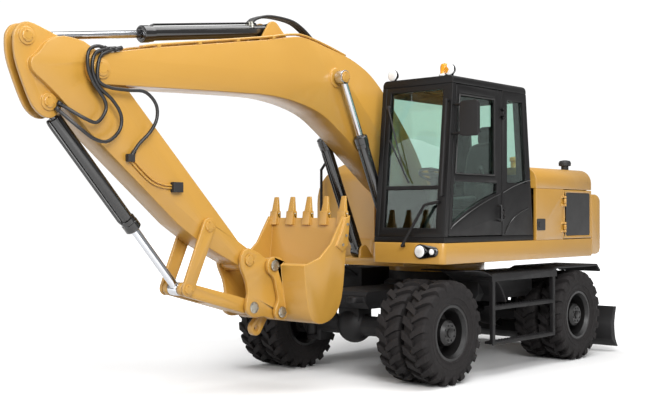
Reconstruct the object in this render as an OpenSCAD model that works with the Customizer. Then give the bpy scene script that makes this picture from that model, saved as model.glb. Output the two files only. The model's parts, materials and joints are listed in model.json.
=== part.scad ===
// Wheeled excavator, an assembly of named pieces in millimetres, +X forward, +Y left, +Z up.
// Built about the swing axis on the ground, then shifted so that its outer box is centred.

/* [Wheels and axles] */
// distance between the axles
wheelbase = 2600; // [2400:10:2800]
// front axle ahead of the swing axis
front_axle_x = 1500; // [1400:10:1600]
// tyre diameter over the lugs
tyre_d = 1050; // [1000:5:1100]
// width of one tyre
tyre_w = 275; // [250:5:285]
// air between twin tyres
twin_gap = 40; // [30:1:50]
// width over the outer tyres
overall_w = 2550; // [2520:5:2600]
// lugs round each tyre
lug_count = 21; // [18:1:24]
// seat diameter of the rims
rim_d = 560; // [520:5:600]
// kingpin inside the inner tyre's face
kingpin_in = 85; // [80:1:105]
// spindle diameter
spindle_d = 180; // [160:2:200]
// hub diameter
hub_d = 260; // [240:2:290]
// running play in bearings
play = 0.5; // [0.3:0.1:1]
// free air around moving pieces
air = 8; // [6:1:12]

/* [Chassis] */
// half width of the chassis girder
frame_half_w = 330; // [300:5:345]
// underside of the girder
frame_z0 = 720; // [715:5:740]
// top of the girder
frame_z1 = 900; // [880:5:920]
// top of the swing ring's fixed half
ring_z = 1060; // [1040:5:1080]
// swing ring radius
ring_r = 560; // [520:5:600]
// blade width
blade_w = 2500; // [2400:10:2540]
// blade height
blade_h = 500; // [480:5:520]

/* [Upper structure] */
// underside of the skirt
skirt_z0 = 1250; // [1230:5:1270]
// top of the deck
deck_z = 1420; // [1400:5:1440]
// half width of the deck
deck_half_w = 1250; // [1220:5:1265]
// front edge of the deck
deck_x1 = 1640; // [1600:5:1680]
// front edge of the counterweight
weight_x = -1450; // [-1480:5:-1420]
// rear end of the counterweight
tail_x = -2080; // [-2120:5:-2040]
// top of the engine hood
hood_z = 2240; // [2200:5:2280]
// wall thickness of covers
cover_t = 40; // [30:1:50]

/* [Cab] */
// rear wall
cab_x0 = -120; // [-130:5:-100]
// front at the floor
cab_x1 = 1600; // [1560:5:1620]
// right wall
cab_y0 = 340; // [335:5:360]
// left wall
cab_y1 = 1235; // [1220:5:1245]
// top of the roof
cab_z1 = 3110; // [3080:5:3160]
// how far the windscreen leans back
cab_lean = 160; // [120:5:200]
// thickness of doors and walls
wall_t = 60; // [50:1:70]
// thickness of panes
glass_t = 8; // [6:1:10]

/* [Boom] */
// foot pin ahead of the swing axis
foot_x = 220; // [200:5:240]
// foot pin height
foot_z = 1720; // [1700:5:1740]
// tip pin
tip_x = 4940; // [4900:5:4980]
// tip pin height
tip_z = 2900; // [2880:5:2920]
// width of the boom
boom_w = 340; // [330:2:346]
// width of the stick's rear horn
horn_w = 152; // [148:2:160]
// width of the stick
stick_w = 250; // [240:2:256]
// boom cylinders beside the middle
boom_cyl_y = 258; // [254:1:262]
// boom cylinder barrel diameter
boom_cyl_d = 124; // [116:2:130]

/* [Bucket] */
// width of the bucket
bucket_w = 1040; // [1000:10:1100]
// plate thickness of the bucket
bucket_t = 30; // [25:1:35]
// number of teeth
teeth = 5; // [4:1:6]

/* [Hidden] */
$fn = 48;
tyre_r = tyre_d / 2;
rear_axle_x = front_axle_x - wheelbase;
tyre_out = overall_w / 2;
tyre_in = tyre_out - 2 * tyre_w - twin_gap;
kingpin_y = tyre_in - kingpin_in;
rim_r = rim_d / 2;
axle_z = tyre_r;
yellow = "#d9a445";
charcoal = "#3a3838";
black = "#222222";
steel = "#c9ccd0";
glass = "#b4d4c880";
foot = [foot_x, foot_z];
tip = [tip_x, tip_z];
boom_eye = [2010, 3110];
boom_base = [1140, 1300];
stick_base = [2850, 3500];
stick_eye = [5580, 3100];
crowd_base = [5380, 2600];
rocker_pin = [3740, 1600];
rocker_eye = [3990, 1040];
nose = [3250, 1280];
link_eye = [3190, 830];
ear_top = [2970, 1220];
ear_low = [2870, 770];
lift_eye = [3010, 610];
blade_pivot = [-1350, 520];
blade_base = [-1440, 900];
blade_eye = [-1720, 400];
blade_x = -2080;
ram_r = 75;
mirror_out = 1580;
frame_x = (stick_eye[0] + 112 + blade_x - 60) / 2;
tow_x = front_axle_x + 290;
tow_y = 220;
belt_z = hood_z - 240;
house_z = hood_z + 100;
frame_y = (mirror_out - tyre_out) / 2;

function lerp(a, b, t) = a + (b - a) * t;
function spline(p, i, t) =
  let(n = len(p), a = p[max(i - 1, 0)], b = p[i], c = p[i + 1], d = p[min(i + 2, n - 1)])
  0.5 * (2 * b + (c - a) * t + (2 * a - 5 * b + 4 * c - d) * t * t + (3 * b - a - 3 * c + d) * t * t * t);
function smooth(p, k) = concat([for (i = [0 : len(p) - 2], j = [0 : k - 1]) spline(p, i, j / k)], [p[len(p) - 1]]);
function along(a, b, s, n) =
  let(l = norm(b - a), u = (b - a) / l)
  [a[0] + u[0] * s - u[1] * n, a[1] + u[1] * s + u[0] * n];

module place() {
  translate([-frame_x, -frame_y, 0]) children();
}
module slab(y0, y1) {
  translate([0, y1, 0]) rotate([90, 0, 0]) linear_extrude(y1 - y0) children();
}
module rod(p, r, y0, y1) {
  translate([p[0], y1, p[1]]) rotate([90, 0, 0]) cylinder(r = r, h = y1 - y0);
}
module brick(x0, x1, y0, y1, z0, z1) {
  translate([x0, y0, z0]) cube([x1 - x0, y1 - y0, z1 - z0]);
}
module tube(a, b, y, r, s0, s1) {
  u = (b - a) / norm(b - a);
  translate([a[0], y, a[1]]) rotate([0, 90 - atan2(u[1], u[0]), 0]) translate([0, 0, s0]) cylinder(r = r, h = s1 - s0);
}
module both() {
  children();
  mirror([0, 1, 0]) children();
}

module hinge_pin(x, y, z, dx) {
  translate([x, y, z - 60]) cylinder(r = 9, h = 120);
  for (k = [-60, 32]) translate([x, y, z + k]) {
    cylinder(r = 18, h = 28);
    translate([dx > 0 ? 0 : dx, -18, 0]) cube([abs(dx), 12, 28]);
  }
}
module hinge_eye(x, y, z, dx) {
  translate([x, y, z - 30]) difference() {
    union() {
      cylinder(r = 18, h = 60);
      translate([dx > 0 ? 0 : dx, -18, 0]) cube([abs(dx), 12, 60]);
    }
    translate([0, 0, -1]) cylinder(r = 9 + play, h = 62);
  }
}

module chassis() {
  color(charcoal) place() difference() {
    union() {
      slab(-frame_half_w, frame_half_w) polygon([[rear_axle_x - 270, frame_z0 + 70], [rear_axle_x - 200, frame_z0],
        [front_axle_x + 160, frame_z0], [front_axle_x + 230, frame_z0 + 70], [front_axle_x + 230, frame_z1 - 40],
        [front_axle_x + 190, frame_z1], [rear_axle_x - 230, frame_z1], [rear_axle_x - 270, frame_z1 - 40]]);
      rotate_extrude() polygon([[0, frame_z0], [ring_r + 60, frame_z0], [ring_r + 60, frame_z1 + 20],
        [ring_r, frame_z1 + 60], [ring_r, ring_z], [0, ring_z]]);
      translate([0, 0, 820]) linear_extrude(60) polygon([[-200, -620], [300, -620], [420, -frame_half_w],
        [420, frame_half_w], [300, 620], [-200, 620], [-320, frame_half_w], [-320, -frame_half_w]]);
      both() {
        slab(frame_half_w - 90, frame_half_w) hull() {
          translate(blade_pivot) circle(r = 90);
          translate([blade_pivot[0] + 30, frame_z0 + 40]) square([160, 40], center = true);
        }
        rod(blade_pivot, 45, frame_half_w, frame_half_w + 110);
        slab(130, 180) hull() {
          translate(blade_base) circle(r = 70);
          translate([blade_base[0] + 100, frame_z1 - 60]) square([130, 100], center = true);
        }
        rod(blade_base, 30, 130, 284);
        translate([0, 0, frame_z0 + 70]) linear_extrude(60) hull() {
          translate([tow_x, tow_y]) circle(r = 70);
          translate([tow_x - 130, tow_y - 90]) square([60, 180]);
        }
      }
    }
    both() translate([tow_x, tow_y, frame_z0]) cylinder(r = 30, h = 200);
  }
}
module axle_case(x) {
  rod([x, axle_z], 105, -kingpin_y + 130, kingpin_y - 130);
  translate([x, 0, axle_z]) sphere(r = 190);
  translate([x, 0, axle_z + 10]) rotate([0, x > 0 ? -90 : 90, 0]) cylinder(r = 60, h = 230);
}
module front_axle() {
  color(charcoal) place() {
    difference() {
      union() {
        axle_case(front_axle_x);
        brick(front_axle_x - 110, front_axle_x + 110, -140, 140, axle_z, frame_z0);
        both() for (s = [-1, 1]) translate([front_axle_x, 0, axle_z + s * 165]) hull() {
          translate([0, kingpin_y, 0]) cylinder(r = 75, h = 50, center = true);
          translate([0, kingpin_y - 150, 0]) cube([150, 40, 50], center = true);
        }
        both() brick(front_axle_x - 75, front_axle_x + 75, kingpin_y - 170, kingpin_y - 110, axle_z - 190, axle_z + 190);
        both() translate([front_axle_x, kingpin_y, axle_z - 190]) cylinder(r = 38, h = 380);
        brick(front_axle_x - 250, front_axle_x - 60, -90, 90, axle_z - 130, axle_z - 40);
      }
      rod([front_axle_x - 200, axle_z - 85], 25 + play, -400, 400);
    }
  }
}
module rear_axle() {
  color(charcoal) place() {
    axle_case(rear_axle_x);
    brick(rear_axle_x - 130, rear_axle_x + 130, -220, 220, axle_z + 60, frame_z0);
    both() rod([rear_axle_x, axle_z], spindle_d / 2, kingpin_y - 131, tyre_out - 200);
    both() rod([rear_axle_x, axle_z], 150, kingpin_y - 60, kingpin_y + 60);
  }
}
module driveline() {
  z = axle_z + 10;
  color(black) place() {
    slab(-150, 150) hull() {
      translate([170, frame_z0 - 120]) circle(r = 90);
      translate([340, z + 15]) circle(r = 80);
      translate([90, frame_z0 - 20]) square([320, 20]);
    }
    for (x = [[400, front_axle_x - 230], [rear_axle_x + 230, 100]]) {
      tube([x[0], z], [x[1], z], 0, 40, 0, x[1] - x[0]);
      for (k = [0, x[1] - x[0] - 40]) tube([x[0], z], [x[1], z], 0, 48, k, k + 40);
    }
  }
}
module step_side() {
  guard = smooth([[1250, 1136], [1030, 1130], [820, 1092], [640, 1000], [540, 895], [470, 780]], 4);
  slabx(-480, 640) offset(r = 25) offset(delta = -25) polygon([[620, 770], [930, 770], [1000, 850], [1000, 1080], [620, 1080]]);
  slab(690, 1250) polygon(concat(guard, [for (i = [len(guard) - 1 : -1 : 0]) guard[i] + [12, -12]]));
  slabx(-600, 760) polygon([[990, 1040], [1235, 1040], [1240, 1000], [1255, 1000], [1255, 1080], [990, 1080]]);
  slab(690, 1255) polygon([[rear_axle_x - 570, 1030], [rear_axle_x - 480, 1110], [-590, 1110], [-470, 1076], [-470, 1050],
    [-600, 1085], [rear_axle_x - 470, 1085], [rear_axle_x - 555, 1012]]);
  for (x = [-560, 700]) slabx(x, x + 50) polygon([[1215, 360], [1255, 360], [1255, 1050], [1200, 1050]]);
  for (z = [330, 700]) slabx(-560, 750) polygon([[1150, z + 12], [1240, z + 12], [1240, z], [1255, z], [1255, z + 40], [1150, z + 40]]);
}
module step_left() {
  color(charcoal) place() step_side();
}
module step_right() {
  color(charcoal) place() mirror([0, 1, 0]) step_side();
}
module knuckle() {
  difference() {
    union() {
      translate([front_axle_x, kingpin_y, axle_z - 135]) cylinder(r = 85, h = 270);
      rod([front_axle_x, axle_z], spindle_d / 2, kingpin_y, tyre_out - 200);
      rod([front_axle_x, axle_z], 120, kingpin_y + 40, kingpin_y + 70);
      translate([front_axle_x, kingpin_y, axle_z - 135]) hull() {
        cylinder(r = 50, h = 23);
        translate([-200, 0, 0]) cylinder(r = 35, h = 23);
      }
    }
    translate([front_axle_x, kingpin_y, axle_z - 300]) cylinder(r = 38 + play, h = 600);
  }
}
module knuckle_left() {
  color(charcoal) place() knuckle();
}
module knuckle_right() {
  color(charcoal) place() mirror([0, 1, 0]) knuckle();
}
module tie_rod() {
  color(steel) place() {
    rod([front_axle_x - 200, axle_z - 85], 25, -kingpin_y, kingpin_y);
    both() translate([front_axle_x - 200, kingpin_y, axle_z - 107]) cylinder(r = 36, h = 45);
  }
}
function lug_id(i, k, s) =
  ((i + (s > 2 ? 1 : 0)) % lug_count) * 17 + (k == 0 ? 0 : k == 6 ? 16 : 1 + (k - 1) * 3 + s % 3);
function spot(a, r, v) = [r * cos(a), v, r * sin(a)];
module tyre_ring(y) {
  w = tyre_w / 2;
  pitch = 360 / lug_count;
  bead = rim_r / cos(pitch / 2);
  rings = [[w, rim_r + 130, rim_r + 130, 10], [w - 8, tyre_r - 12, tyre_r - 62, 8.5], [0, tyre_r, tyre_r - 38, 0],
    [8 - w, tyre_r - 12, tyre_r - 62, 8.5], [-w, rim_r + 130, rim_r + 130, 10]];
  p = [for (i = [0 : lug_count - 1]) each concat([spot(i * pitch - 80 + 0.4 * pitch, bead, w - 25)],
    [for (q = rings, s = [0 : 2]) spot(i * pitch - 90 + q[3] + [0, 0.5, 0.75][s] * pitch, s < 2 ? q[1] : q[2], q[0])],
    [spot(i * pitch - 80 + 0.4 * pitch, bead, 25 - w)])];
  tread = [for (i = [0 : lug_count - 1], k = [1 : 4], s = [0 : 2])
    each [[lug_id(i, k, s), lug_id(i, k + 1, s + 1), lug_id(i, k, s + 1)],
      [lug_id(i, k, s), lug_id(i, k + 1, s), lug_id(i, k + 1, s + 1)]]];
  walls = [for (i = [0 : lug_count - 1], s = [0 : 2])
    each [[lug_id(i, 0, 0), lug_id(i, 1, s), lug_id(i, 1, s + 1)], [lug_id(i, 5, s), lug_id(i, 6, 0), lug_id(i, 5, s + 1)]]];
  beads = [for (i = [0 : lug_count - 1])
    each [[lug_id(i, 0, 0), lug_id(i, 1, 3), lug_id(i + 1, 0, 0)], [lug_id(i, 5, 3), lug_id(i, 6, 0), lug_id(i + 1, 6, 0)],
      [lug_id(i, 0, 0), lug_id(i + 1, 0, 0), lug_id(i + 1, 6, 0)], [lug_id(i, 0, 0), lug_id(i + 1, 6, 0), lug_id(i, 6, 0)]]];
  translate([0, y, 0]) polyhedron(p, concat(tread, walls, beads));
}
module tyres(x) {
  translate([x, 0, axle_z]) {
    tyre_ring(tyre_in + tyre_w / 2);
    tyre_ring(tyre_out - tyre_w / 2);
  }
}
module tyres_front_left() {
  color(black) place() tyres(front_axle_x);
}
module tyres_front_right() {
  color(black) place() mirror([0, 1, 0]) tyres(front_axle_x);
}
module tyres_rear_left() {
  color(black) place() tyres(rear_axle_x);
}
module tyres_rear_right() {
  color(black) place() mirror([0, 1, 0]) tyres(rear_axle_x);
}
module rims(x) {
  mid = tyre_in + tyre_w + twin_gap / 2;
  translate([x, 0, axle_z]) rotate([-90, 0, 0]) rotate_extrude() polygon([
    [spindle_d / 2 + play, tyre_in + 60], [hub_d / 2, tyre_in + 60], [hub_d / 2, mid - 40],
    [rim_r - 45, mid - 20], [rim_r - 45, tyre_in + 60], [rim_r - 25, tyre_in + 20],
    [rim_r, tyre_in + 20], [rim_r, tyre_out - 20], [rim_r - 25, tyre_out - 20],
    [rim_r - 45, tyre_out - 60], [rim_r - 45, mid + 60], [hub_d / 2, mid + 40],
    [hub_d / 2, tyre_out - 70], [hub_d / 2 - 30, tyre_out - 40], [0, tyre_out - 40],
    [0, tyre_out - 190], [spindle_d / 2 + play, tyre_out - 190]]);
}
module rims_front_left() {
  color(black) place() rims(front_axle_x);
}
module rims_front_right() {
  color(black) place() mirror([0, 1, 0]) rims(front_axle_x);
}
module rims_rear_left() {
  color(black) place() rims(rear_axle_x);
}
module rims_rear_right() {
  color(black) place() mirror([0, 1, 0]) rims(rear_axle_x);
}
module blade() {
  z0 = 60;
  color(charcoal) place() {
    slab(-blade_w / 2, blade_w / 2) polygon(concat(
      smooth([[blade_x - 60, z0], [blade_x + 10, z0 + 120], [blade_x + 30, z0 + 300], [blade_x - 20, z0 + blade_h]], 6),
      [[blade_x + 50, z0 + blade_h], [blade_x + 130, z0 + 300], [blade_x + 110, z0 + 100], [blade_x - 30, z0]]));
    both() difference() {
      slab(frame_half_w + air, frame_half_w + 98) hull() {
        translate(blade_pivot) circle(r = 90);
        translate([blade_x + 100, z0 + 250]) square([40, 200], center = true);
      }
      rod(blade_pivot, 45 + play, 0, 800);
    }
    both() slab(130, 180) hull() {
      translate(blade_eye) circle(r = 60);
      translate([blade_x + 110, blade_eye[1] - 40]) square([40, 120], center = true);
    }
  }
}
module blade_barrels() {
  color(black) place() both() difference() {
    union() {
      rod(blade_base, 55, 188, 288);
      tube(blade_base, blade_eye, 238, 46, 0, 338);
    }
    rod(blade_base, 30 + play, 0, 400);
    tube(blade_base, blade_eye, 238, 28 + play, 65, 500);
  }
}
module blade_rods() {
  l = norm(blade_eye - blade_base);
  color(steel) place() both() {
    tube(blade_base, blade_eye, 238, 28, 240, l);
    rod(blade_eye, 50, 190, 286);
  }
}
module turntable() {
  bay_z = skirt_z0 - 20;
  color(yellow) place() {
    translate([0, 0, ring_z + play]) cylinder(r = ring_r, h = bay_z - 80 - ring_z - play);
    brick(weight_x, 1240, -460, 460, bay_z - 80, bay_z);
    translate([0, 0, bay_z - 20]) linear_extrude(deck_z - bay_z + 20) intersection() {
      offset(r = 60) offset(delta = -60) polygon([[weight_x - 100, -deck_half_w], [760, -deck_half_w], [760, -cab_y0],
        [-160, -cab_y0], [-160, cab_y0], [deck_x1, cab_y0], [deck_x1, deck_half_w], [weight_x - 100, deck_half_w]]);
      translate([weight_x, -deck_half_w]) square([deck_x1 - weight_x, 2 * deck_half_w]);
    }
    both() slab(boom_w / 2 + air, boom_w / 2 + air + 24) hull() {
      translate(foot) circle(r = 150);
      translate([-500, bay_z - 40]) square([300, 40]);
      translate([860, bay_z - 40]) square([60, 40]);
    }
    rod(foot, 60, -boom_w / 2 - air - 40, boom_w / 2 + air + 40);
    both() slab(boom_cyl_y - 95, boom_cyl_y - boom_cyl_d / 2 - 6) hull() {
      translate(boom_base) circle(r = 70);
      translate([boom_base[0] - 160, bay_z - 40]) square([240, 40]);
    }
    both() rod(boom_base, 42, boom_cyl_y - 95, boom_cyl_y + boom_cyl_d / 2);
  }
}
module counterweight() {
  z0 = skirt_z0 - 20;
  r = -tail_x;
  color(yellow) place() intersection() {
    rotate_extrude() polygon(concat([[400, z0], [r - 70, z0], [r - 20, z0 + 20], [r, z0 + 70]],
      [for (a = [0 : 18 : 90]) [r - 110 + 110 * cos(a), belt_z - 140 + 90 * sin(a)]],
      [[-weight_x + 190, belt_z - 50], [-weight_x + 50, hood_z - 20], [-weight_x + 10, hood_z], [400, hood_z]]));
    slabx(tail_x - 50, weight_x) weight_outline(z0);
  }
}
module weight_outline(z0) {
  w = deck_half_w;
  polygon(concat([[-w, z0]], [for (a = [180 : -15 : 90]) [-w + 160 + 160 * cos(a), hood_z - 160 + 160 * sin(a)]],
    [for (a = [90 : -15 : 0]) [w - 160 + 160 * cos(a), hood_z - 160 + 160 * sin(a)]], [[w, z0]]));
}
module engine() {
  color(black) place() brick(-1350, -350, -500, 400, deck_z, hood_z - 190);
}
module hood() {
  color(yellow) place() {
    difference() {
      slabx(weight_x + air, cab_x0 - 30) hood_outline(0);
      slabx(weight_x + air - 1, cab_x0 - 30 - cover_t) hood_outline(cover_t);
    }
    translate([-1050, 420, 0]) rotate_extrude() polygon([[0, hood_z - 5], [70, hood_z - 5], [70, hood_z + 25], [48, hood_z + 35],
      [48, hood_z + 120], [62, hood_z + 125], [58, hood_z + 170], [0, hood_z + 180]]);
  }
}
module slabx(x0, x1) {
  translate([x0, 0, 0]) rotate([90, 0, 90]) linear_extrude(x1 - x0) children();
}
module hood_outline(t) {
  w = deck_half_w - t;
  polygon(concat([[-w, belt_z - (t > 0 ? 1 : 0)]],
    [for (a = [180 : -15 : 90]) [-w + 160 + (160) * cos(a), hood_z - t - 160 + 160 * sin(a)]],
    [for (a = [90 : -15 : 0]) [w - 160 + 160 * cos(a), hood_z - t - 160 + 160 * sin(a)]],
    [[w, belt_z - (t > 0 ? 1 : 0)]]));
}
module side_door() {
  difference() {
    brick(weight_x + air, -760 - air, deck_half_w - cover_t, deck_half_w, deck_z + air, belt_z - air);
    slab(deck_half_w - 6, deck_half_w + 1) offset(r = 30) offset(delta = -30)
      translate([weight_x + 40, deck_z + 40]) square([-weight_x - 860, belt_z - deck_z - 80]);
  }
  for (z = gate_zs) hinge_eye(-764, deck_half_w + 18, z, -50);
}
module side_door_left() {
  color(yellow) place() side_door();
}
module side_door_right() {
  color(yellow) place() mirror([0, 1, 0]) side_door();
}
module side_panels() {
  color(yellow) place() both() {
    brick(-760, cab_x0 - 30, deck_half_w - cover_t, deck_half_w, deck_z, belt_z);
    for (z = gate_zs) hinge_pin(-764, deck_half_w + 18, z, 50);
  }
}
module right_housing() {
  w = deck_half_w;
  color(yellow) place() {
    intersection() {
      slabx(cab_x0 - 20, 720) polygon(concat([[-cab_y0 - 20, deck_z], [-cab_y0 - 20, house_z]],
        [for (a = [90 : 10 : 180]) [-w + 500 + 500 * cos(a), house_z - 500 + 500 * sin(a)]], [[-w, deck_z]]));
      slab(-w - 1, 0) polygon([[cab_x0 - 20, deck_z], [720, deck_z], [720, house_z - 260], [690, house_z - 150],
        [560, house_z], [cab_x0 - 20, house_z]]);
    }
    translate([240, -620, house_z - 5]) cylinder(r = 70, h = 45);
  }
}
module bar(a, b, r) {
  d = b - a;
  translate(a) rotate([0, acos(d[2] / norm(d)), atan2(d[1], d[0])]) cylinder(r = r, h = norm(d));
}
module chain(p, r) {
  for (i = [0 : len(p) - 2]) bar(p[i], p[i + 1], r);
  for (i = [1 : len(p) - 2]) translate(p[i]) sphere(r = 1.08 * r);
}
module rails() {
  a = cab_front_x(2850) + 45;
  b = cab_front_x(1900) + 45;
  color(black) place() {
    chain([[721, -1120, 1520], [790, -1120, 1520], [790, -1120, 2240], [680, -1000, 2500], [680, -1000, 2560]], 16);
    slabx(665, 695) offset(r = 25) offset(delta = -25) translate([-1090, 2550]) square([180, 270]);
    chain([[a - 42, 1195, 2850], [a, 1195, 2850], [b, 1195, 1900], [b - 42, 1195, 1900]], 14);
    chain([[deck_x1 + 1, 770, 1390], [deck_x1 + 40, 770, 1390], [1630, 1010, 1800], [1610, 1150, 1830],
      [cab_front_x(1830) + 4, 1150, 1830]], 15);
  }
}
function cab_front_x(z) = cab_x1 - cab_lean * (z - deck_z) / (cab_z1 - deck_z);
function cab_rear_x(z) = cab_x0 + 170 * (z - deck_z) / (cab_z1 - deck_z);
floor_z = deck_z + 60;
roof_z = cab_z1 - 80;
door_x0 = 540;
hinge_zs = [1720, 2780];
gate_zs = [1560, 1860];
module cab_slice(z0, z1) {
  polygon([[cab_rear_x(z0), z0], [cab_front_x(z0), z0], [cab_front_x(z1), z1], [cab_rear_x(z1), z1]]);
}
module side_cut(x0, x1, z0, z1) {
  offset(r = 40) offset(delta = -40) polygon([[x0, z0], [x1 - cab_lean * (z0 - deck_z) / (cab_z1 - deck_z), z0],
    [x1 - cab_lean * (z1 - deck_z) / (cab_z1 - deck_z), z1], [x0, z1]]);
}
module cab_floor() {
  color(charcoal) place() slab(cab_y0, cab_y1) cab_slice(deck_z, floor_z);
}
module cab_roof() {
  color(charcoal) place() difference() {
    intersection() {
      slab(cab_y0, cab_y1) cab_slice(roof_z, cab_z1);
      slabx(-300, 2000) offset(r = 50) offset(delta = -50)
        translate([cab_y0, roof_z - 200]) square([cab_y1 - cab_y0, cab_z1 - roof_z + 200]);
    }
    brick(850, 1300, cab_y0 + 120, cab_y1 - 120, roof_z - 1, cab_z1 + 1);
  }
}
module cab_right() {
  color(charcoal) place() slab(cab_y0, cab_y0 + wall_t) difference() {
    cab_slice(floor_z, roof_z);
    side_cut(200, cab_x1 - 130, 2000, roof_z - 90);
  }
}
module cab_front() {
  color(charcoal) place() difference() {
    slab(cab_y0 + wall_t, cab_y1) intersection() {
      cab_slice(floor_z, roof_z);
      translate([-wall_t, 0]) difference() {
        translate([wall_t, 0]) cab_slice(floor_z, roof_z);
        cab_slice(floor_z - 1, roof_z + 1);
      }
    }
    slabx(1000, 2000) difference() {
      translate([cab_y0 + wall_t + 60, floor_z + 90]) square([cab_y1 - cab_y0 - 2 * wall_t - 120, roof_z - floor_z - 150]);
      translate([0, 1960]) square([2000, 40]);
    }
  }
}
module cab_rear() {
  color(charcoal) place() difference() {
    slab(cab_y0 + wall_t, cab_y1 - wall_t) difference() {
      cab_slice(floor_z, roof_z);
      translate([wall_t, 0]) polygon([[cab_rear_x(floor_z - 9), floor_z - 9], [3000, floor_z - 9], [3000, roof_z + 9], [cab_rear_x(roof_z + 9), roof_z + 9]]);
    }
    brick(-300, 300, cab_y0 + 150, cab_y1 - 150, 2150, roof_z - 90);
  }
}
module cab_quarter() {
  color(charcoal) place() slab(cab_y1 - wall_t, cab_y1) difference() {
    intersection() {
      cab_slice(floor_z, roof_z);
      translate([-500, 0]) square([door_x0 - air + 500, 4000]);
    }
    polygon([[cab_rear_x(2050) + 90, 2050], [door_x0 - 110, 2050], [door_x0 - 110, roof_z - 100], [cab_rear_x(roof_z - 100) + 90, roof_z - 100]]);
  }
  color(charcoal) place() for (z = hinge_zs) hinge_pin(door_x0 - 4, cab_y1 + 18, z, -50);
}
module door_panes() {
  f = wall_t + air + 50;
  side_cut(door_x0 + 140, cab_x1 - f, 2110, roof_z - 100);
  offset(r = 25) offset(delta = -25) polygon(concat(smooth([[cab_front_x(1590) - f, 1590], [1380, 1650], [1147, 1765],
    [868, 1870], [door_x0 + 90, 1935]], 4), [[door_x0 + 90, 2040], [cab_front_x(2040) - f, 2040]]));
}
module cab_door() {
  color(charcoal) place() slab(cab_y1 - wall_t, cab_y1) difference() {
    polygon([[door_x0, floor_z + air], [cab_front_x(floor_z + air) - wall_t - air, floor_z + air],
      [cab_front_x(roof_z - air) - wall_t - air, roof_z - air], [door_x0, roof_z - air]]);
    door_panes();
  }
  color(charcoal) place() for (z = hinge_zs) hinge_eye(door_x0 - 4, cab_y1 + 18, z, 50);
}
module door_glass() {
  color(glass) place() slab(cab_y1 - wall_t / 2 - glass_t / 2, cab_y1 - wall_t / 2 + glass_t / 2) door_panes();
}
module cab_glass() {
  color(glass) place() {
    slab(cab_y0 + wall_t / 2 - glass_t / 2, cab_y0 + wall_t / 2 + glass_t / 2) side_cut(200, cab_x1 - 130, 2000, roof_z - 90);
    slab(cab_y1 - wall_t / 2 - glass_t / 2, cab_y1 - wall_t / 2 + glass_t / 2)
      polygon([[cab_rear_x(2050) + 90, 2050], [door_x0 - 110, 2050], [door_x0 - 110, roof_z - 100], [cab_rear_x(roof_z - 100) + 90, roof_z - 100]]);
    brick(850, 1300, cab_y0 + 120, cab_y1 - 120, cab_z1 - 40, cab_z1 - 40 + glass_t);
    for (z = [[floor_z + 90, 1960], [2000, roof_z - 60]]) slab(cab_y0 + wall_t + 60, cab_y1 - wall_t - 60)
      polygon([[cab_front_x(z[0]) - 30, z[0]], [cab_front_x(z[0]) - 30 + glass_t, z[0]],
        [cab_front_x(z[1]) - 30 + glass_t, z[1]], [cab_front_x(z[1]) - 30, z[1]]]);
    slab(cab_y0 + 150, cab_y1 - 150) polygon([[cab_rear_x(2150) + 26, 2150], [cab_rear_x(2150) + 26 + glass_t, 2150],
      [cab_rear_x(roof_z - 90) + 26 + glass_t, roof_z - 90], [cab_rear_x(roof_z - 90) + 26, roof_z - 90]]);
  }
}
module seat() {
  color(black) place() {
    slab(620, 980) polygon([[240, floor_z], [640, floor_z], [560, 1760], [300, 1760]]);
    slab(550, 1050) offset(r = 50) offset(delta = -50) polygon([[190, 1755], [700, 1755], [740, 1850], [690, 1905], [190, 1885]]);
    slab(560, 1040) offset(r = 45) offset(delta = -45) polygon([[230, 1790], [330, 1850], [210, 2480], [90, 2480]]);
    slab(680, 920) offset(r = 40) offset(delta = -40) polygon([[115, 2470], [200, 2470], [175, 2690], [85, 2690]]);
  }
}
module console() {
  wheel_at = [1120, 800, 2110];
  color(black) place() {
    bar([1290, 800, floor_z + 16], wheel_at, 45);
    translate(wheel_at) rotate([0, -22, 0]) {
      rotate_extrude() translate([185, 0]) circle(r = 15);
      for (a = [60, 180, 300]) rotate([0, 0, a]) translate([0, -16, -8]) cube([180, 32, 16]);
      cylinder(r = 55, h = 40, center = true);
    }
    for (y = [420, 1060]) {
      slab(y, y + 110) offset(r = 40) offset(delta = -40)
        polygon([[300, floor_z], [620, floor_z], [820, 1960], [800, 2030], [260, 2000]]);
      bar([740, y + 55, 2000], [760, y + 55, 2170], 22);
      translate([762, y + 55, 2190]) sphere(r = 36);
    }
  }
}
module round_lamp(x, y, z, r, d) {
  translate([x, y, z]) rotate([0, 90, 0]) rotate_extrude() polygon([[0, 0], [0.7 * r, 0], [r, 0.5 * d], [r, d],
    [0.86 * r, d + 4], [0, d + 8]]);
}
module headlamps(x, y) {
  z = (skirt_z0 + deck_z) / 2;
  slabx(x, x + 14) hull() {
    translate([y - 60, z]) circle(r = 74);
    translate([y + 100, z]) circle(r = 50);
  }
  round_lamp(x + 12, y - 60, z, 60, 18);
  round_lamp(x + 12, y + 90, z, 34, 16);
}
module lamps() {
  color("#f5b81a") place() {
    translate([1350, cab_y1 - 170, cab_z1]) rotate_extrude() polygon([[0, 0], [58, 0], [58, 25], [46, 30], [46, 100], [36, 128], [0, 140]]);
    for (y = [cab_y0 + 90, cab_y1 - 80]) {
      round_lamp(1340, y, cab_z1 + 62, 58, 60);
      brick(1350, 1390, y - 20, y + 20, cab_z1, cab_z1 + 30);
    }
    translate([cab_rear_x(cab_z1 - 60) - 5, cab_y1 - 90, cab_z1 - 60]) rotate([0, 180, 0]) round_lamp(0, 0, 0, 34, 40);
    headlamps(deck_x1, 1040);
    mirror([0, 1, 0]) headlamps(760, 1040);
  }
}
module mirror_left() {
  color(black) place() {
    bar([1470, cab_y1 + 3, 2510], [1500, 1440, 2520], 14);
    bar([1440, cab_y1 + 5, 2805], [1500, 1440, 2800], 14);
    slabx(1484, 1522) offset(r = 40) offset(delta = -40) translate([1360, 2480]) square([mirror_out - 1360, 350]);
  }
}
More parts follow.
